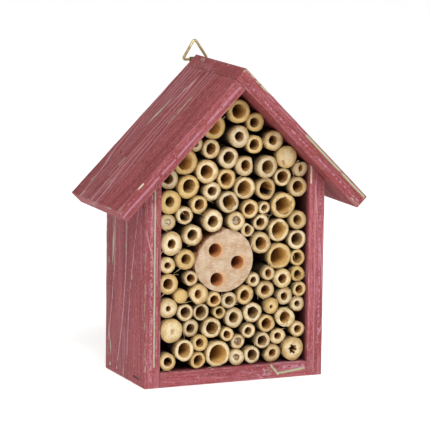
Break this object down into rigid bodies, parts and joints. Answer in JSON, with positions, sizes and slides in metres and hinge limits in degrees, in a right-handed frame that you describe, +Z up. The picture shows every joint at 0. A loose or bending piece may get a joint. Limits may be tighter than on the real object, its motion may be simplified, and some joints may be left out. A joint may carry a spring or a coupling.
{
  "type": "insect hotel",
  "caption": "Small gabled wooden insect hotel, open in front, packed with bamboo canes round a drilled log, with a swinging wire ring at the ridge for hanging.",
  "frame": {"origin": "middle of the case's underside", "axes": "+Z up, -Y out of the open front, +Y towards the wall it hangs on, +X to the right seen from the front"},
  "size_m": [0.195, 0.0942, 0.242],
  "materials": {
    "pink_stain": "thin rose-pink stain over sawn softwood, worn at the edges",
    "red_stain": "thin brownish-red stain over sawn softwood",
    "plain_board": "bare sawn softwood",
    "bamboo": "dry cane, matt cut ends and satin skin",
    "log_wood": "fibrous sawn end grain",
    "brass_wire": "satin, lightly tarnished",
    "brass_strap": "dull, tarnished",
    "staple_wire": "dull galvanised wire"
  },
  "bodies": {
    "case": {"left_wall": "pink_stain", "right_wall": "pink_stain", "base_board": "pink_stain", "back_panel": "plain_board", "roof_left_board": "red_stain", "roof_right_board": "red_stain", "base_staples": "staple_wire", "roof_staples": "staple_wire", "ridge_staples": "staple_wire", "drilled_log": "log_wood", "hanger_strap": "brass_strap", "hanger_nails": "brass_strap", "cane_row_1": "bamboo", "cane_row_2": "bamboo", "cane_row_3": "bamboo", "cane_row_4": "bamboo", "cane_row_5": "bamboo", "cane_row_6": "bamboo", "cane_row_7": "bamboo", "cane_row_8": "bamboo", "cane_row_9": "bamboo", "cane_row_10": "bamboo", "cane_row_11": "bamboo", "cane_row_12": "bamboo", "cane_row_13": "bamboo", "cane_row_14": "bamboo", "cane_row_15": "bamboo", "cane_row_16": "bamboo"},
    "ring": {"hanger_ring": "brass_wire"}
  },
  "joints": [
    {"name": "ring_swing", "type": "hinge", "parent": "case", "child": "ring", "pos_m": [0, 0.03988, 0.226], "axis": [-1, 0, 0], "range_deg": [-60, 160]}
  ]
}
